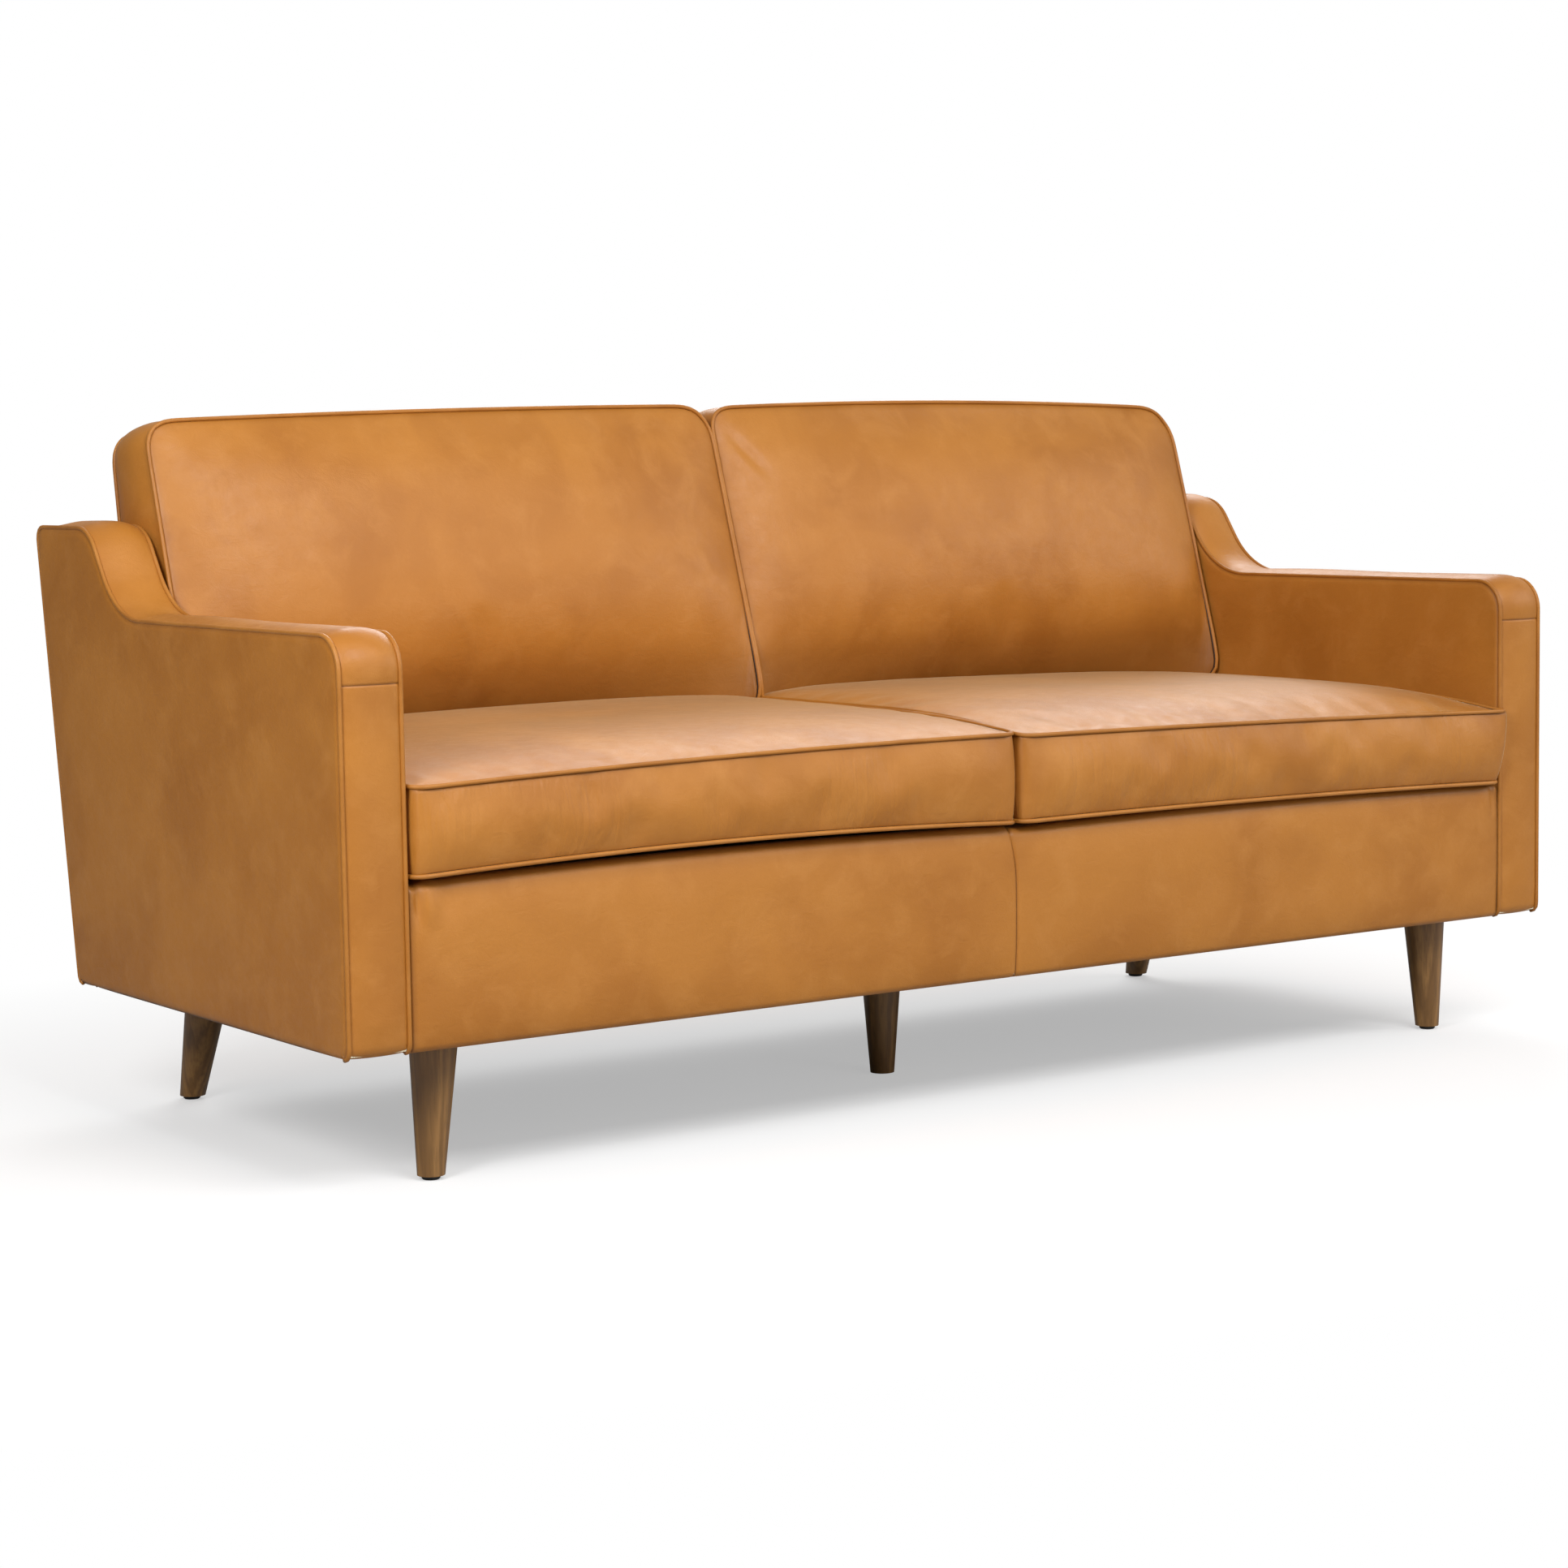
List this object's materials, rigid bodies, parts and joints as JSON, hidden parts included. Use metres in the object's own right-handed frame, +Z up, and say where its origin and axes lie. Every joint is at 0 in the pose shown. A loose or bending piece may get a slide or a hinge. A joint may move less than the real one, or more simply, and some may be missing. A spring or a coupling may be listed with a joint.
{
  "type": "two-seat sofa",
  "caption": "Leather sofa with loose seat and back cushions, slim arms that rise to the back, piped edges and round tapered wooden legs.",
  "frame": {"origin": "on the floor, under the middle of the whole sofa's width and depth", "axes": "+X along the width towards the right-hand arm as the sofa is seen from its front, +Y to the rear, +Z up"},
  "size_m": [1.9, 0.8556, 0.9003],
  "materials": {
    "leather": "satin",
    "leather_piping": "satin",
    "leg_wood": "satin",
    "frame_timber": "matte",
    "foam": "matte",
    "webbing": "matte",
    "spring_steel": "satin",
    "zinc_steel": "satin",
    "glide_plastic": "matte",
    "dust_cloth": "matte",
    "deck_cloth": "matte",
    "zip_tape": "matte",
    "zip_brass": "satin"
  },
  "bodies": {
    "sofa_frame": {"leg_front_left": "leg_wood", "leg_front_right": "leg_wood", "leg_rear_left": "leg_wood", "leg_rear_right": "leg_wood", "leg_centre": "leg_wood", "leg_glides": "glide_plastic", "leg_bolts": "zinc_steel", "leg_plates": "zinc_steel", "leg_plate_screws": "zinc_steel", "front_rail": "frame_timber", "rear_rail": "frame_timber", "side_rails": "frame_timber", "centre_rail": "frame_timber", "corner_blocks": "frame_timber", "back_frame": "frame_timber", "back_webbing": "webbing", "back_padding": "foam", "inside_back_cover": "leather", "outside_back_cover": "leather", "seat_springs": "spring_steel", "spring_clips": "zinc_steel", "deck_padding": "foam", "deck_cover": "deck_cloth", "front_padding": "foam", "front_cover": "leather", "dust_cover": "dust_cloth", "left_arm_panels": "frame_timber", "left_arm_blocking": "frame_timber", "left_arm_padding": "foam", "left_arm_outer_cover": "leather", "left_arm_inner_cover": "leather", "left_arm_boxing": "leather", "left_arm_welts": "leather_piping", "right_arm_panels": "frame_timber", "right_arm_blocking": "frame_timber", "right_arm_padding": "foam", "right_arm_outer_cover": "leather", "right_arm_inner_cover": "leather", "right_arm_boxing": "leather", "right_arm_welts": "leather_piping"},
    "left_seat_cushion": {"left_seat_core": "foam", "left_seat_cover": "leather", "left_seat_welts": "leather_piping", "left_seat_zip": "zip_tape"},
    "left_seat_zip_slider": {"left_seat_zip_pull": "zip_brass"},
    "right_seat_cushion": {"right_seat_core": "foam", "right_seat_cover": "leather", "right_seat_welts": "leather_piping", "right_seat_zip": "zip_tape"},
    "right_seat_zip_slider": {"right_seat_zip_pull": "zip_brass"},
    "left_back_cushion": {"left_back_core": "foam", "left_back_cover": "leather", "left_back_welts": "leather_piping", "left_back_zip": "zip_tape"},
    "left_back_zip_slider": {"left_back_zip_pull": "zip_brass"},
    "right_back_cushion": {"right_back_core": "foam", "right_back_cover": "leather", "right_back_welts": "leather_piping", "right_back_zip": "zip_tape"},
    "right_back_zip_slider": {"right_back_zip_pull": "zip_brass"}
  },
  "joints": [
    {"name": "left_seat_cushion_pull_out", "type": "slide", "parent": "sofa_frame", "child": "left_seat_cushion", "axis": [0, -1, 0], "range_m": [0, 0.6]},
    {"name": "left_seat_zip_travel", "type": "slide", "parent": "left_seat_cushion", "child": "left_seat_zip_slider", "axis": [1, 0, 0], "range_m": [0, 0.69]},
    {"name": "left_back_cushion_lift_off", "type": "slide", "parent": "sofa_frame", "child": "left_back_cushion", "axis": [0, 0.149, 0.9888], "range_m": [0, 0.45]},
    {"name": "left_back_zip_travel", "type": "slide", "parent": "left_back_cushion", "child": "left_back_zip_slider", "axis": [1, 0, 0], "range_m": [0, 0.69]},
    {"name": "right_seat_cushion_pull_out", "type": "slide", "parent": "sofa_frame", "child": "right_seat_cushion", "axis": [0, -1, 0], "range_m": [0, 0.6]},
    {"name": "right_seat_zip_travel", "type": "slide", "parent": "right_seat_cushion", "child": "right_seat_zip_slider", "axis": [-1, 0, 0], "range_m": [0, 0.69]},
    {"name": "right_back_cushion_lift_off", "type": "slide", "parent": "sofa_frame", "child": "right_back_cushion", "axis": [0, 0.149, 0.9888], "range_m": [0, 0.45]},
    {"name": "right_back_zip_travel", "type": "slide", "parent": "right_back_cushion", "child": "right_back_zip_slider", "axis": [-1, 0, 0], "range_m": [0, 0.69]}
  ]
}
